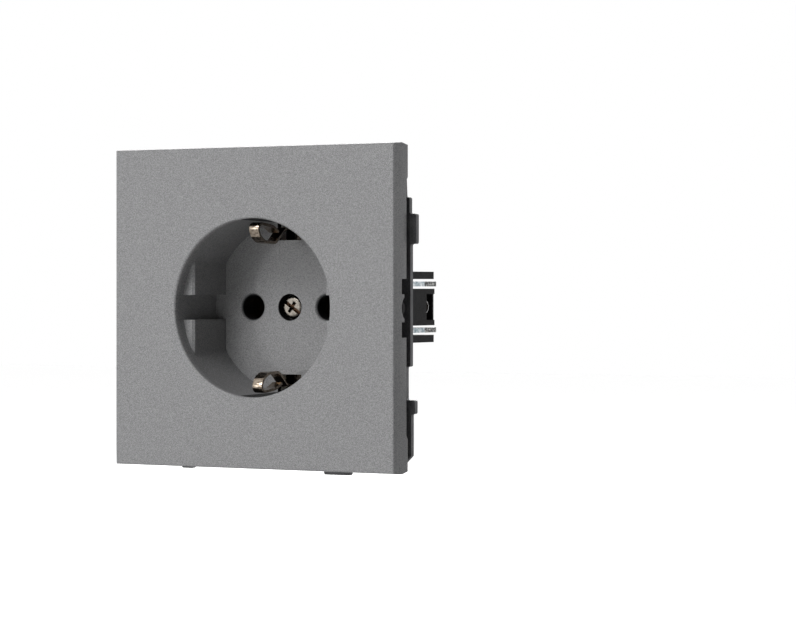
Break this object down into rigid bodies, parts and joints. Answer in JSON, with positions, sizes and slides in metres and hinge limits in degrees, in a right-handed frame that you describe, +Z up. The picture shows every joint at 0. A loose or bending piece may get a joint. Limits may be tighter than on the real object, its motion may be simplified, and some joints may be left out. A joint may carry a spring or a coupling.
{
  "type": "flush wall socket",
  "caption": "Flush wall socket outlet with a square cover, a recessed round well, side earth clips, a support plate and spreading claws behind it.",
  "frame": {"origin": "on the centre line between the two pin holes, in the plane of the support plate's rear face, which lies on the wall", "axes": "+X to the right and +Z up as seen from the room, +Y into the wall, so the front faces -Y"},
  "size_m": [0.0718, 0.0443, 0.0709],
  "materials": {
    "cover": "satin metallic grey lacquer",
    "plate_steel": "zinc plated, dull",
    "white_plastic": "moulded, satin",
    "black_plastic": "spark-eroded grain",
    "claw_steel": "bright galvanised",
    "screw_steel": "nickel plated",
    "nickel_strip": "polished nickel",
    "contact_brass": "bare",
    "spring_steel": "bare spring steel",
    "nut_steel": "yellow chromate",
    "grey_key": "moulded",
    "green_key": "moulded"
  },
  "bodies": {
    "socket": {"cover_plate": "cover", "cover_screw": "screw_steel", "support_plate": "plate_steel", "contact_carrier": "white_plastic", "rear_housing": "black_plastic", "earth_bow": "nickel_strip", "screw_bush": "contact_brass", "earth_bar": "contact_brass", "earth_rivet": "contact_brass", "live_contact": "contact_brass", "neutral_contact": "contact_brass", "live_clamp_spring": "spring_steel", "neutral_clamp_spring": "spring_steel", "earth_clamp_spring": "spring_steel"},
    "claw_screw_left": {"claw_screw_left": "screw_steel"},
    "wedge_left": {"wedge_block_left": "black_plastic", "claw_nut_left": "nut_steel"},
    "claw_left": {"claw_left": "claw_steel"},
    "claw_screw_right": {"claw_screw_right": "screw_steel"},
    "wedge_right": {"wedge_block_right": "black_plastic", "claw_nut_right": "nut_steel"},
    "claw_right": {"claw_right": "claw_steel"},
    "live_key": {"live_release_key": "grey_key"},
    "neutral_key": {"neutral_release_key": "grey_key"},
    "earth_key": {"earth_release_key": "green_key"}
  },
  "joints": [
    {"name": "wedge_left_travel", "type": "slide", "parent": "socket", "child": "wedge_left", "axis": [0, -1, 0], "range_m": [0, 0.0036]},
    {"name": "claw_screw_left_turn", "type": "hinge", "parent": "socket", "child": "claw_screw_left", "pos_m": [-0.0192, 0.0202, 0], "axis": [0, 1, 0], "range_deg": [0, 2160]},
    {"name": "claw_left_swing", "type": "hinge", "parent": "socket", "child": "claw_left", "pos_m": [-0.017, 0.012, 0], "axis": [0, 0, 1], "range_deg": [0, 25]},
    {"name": "wedge_right_travel", "type": "slide", "parent": "socket", "child": "wedge_right", "axis": [0, -1, 0], "range_m": [0, 0.0036]},
    {"name": "claw_screw_right_turn", "type": "hinge", "parent": "socket", "child": "claw_screw_right", "pos_m": [0.0192, 0.0202, 0], "axis": [0, 1, 0], "range_deg": [0, 2160]},
    {"name": "claw_right_swing", "type": "hinge", "parent": "socket", "child": "claw_right", "pos_m": [0.017, 0.012, 0], "axis": [0, 0, -1], "range_deg": [0, 25]},
    {"name": "live_key_press", "type": "slide", "parent": "socket", "child": "live_key", "axis": [0, -1, 0], "range_m": [0, 0.0013], "stiffness_N_per_m": 800},
    {"name": "neutral_key_press", "type": "slide", "parent": "socket", "child": "neutral_key", "axis": [0, -1, 0], "range_m": [0, 0.0013], "stiffness_N_per_m": 800},
    {"name": "earth_key_press", "type": "slide", "parent": "socket", "child": "earth_key", "axis": [0, -1, 0], "range_m": [0, 0.0013], "stiffness_N_per_m": 800}
  ],
  "couplings": [
    {"joint": "claw_screw_left_turn", "follows": "wedge_left_travel", "rad_per_m": 10472},
    {"joint": "claw_left_swing", "follows": "wedge_left_travel", "rad_per_m": 121.2},
    {"joint": "claw_screw_right_turn", "follows": "wedge_right_travel", "rad_per_m": 10472},
    {"joint": "claw_right_swing", "follows": "wedge_right_travel", "rad_per_m": 121.2}
  ]
}
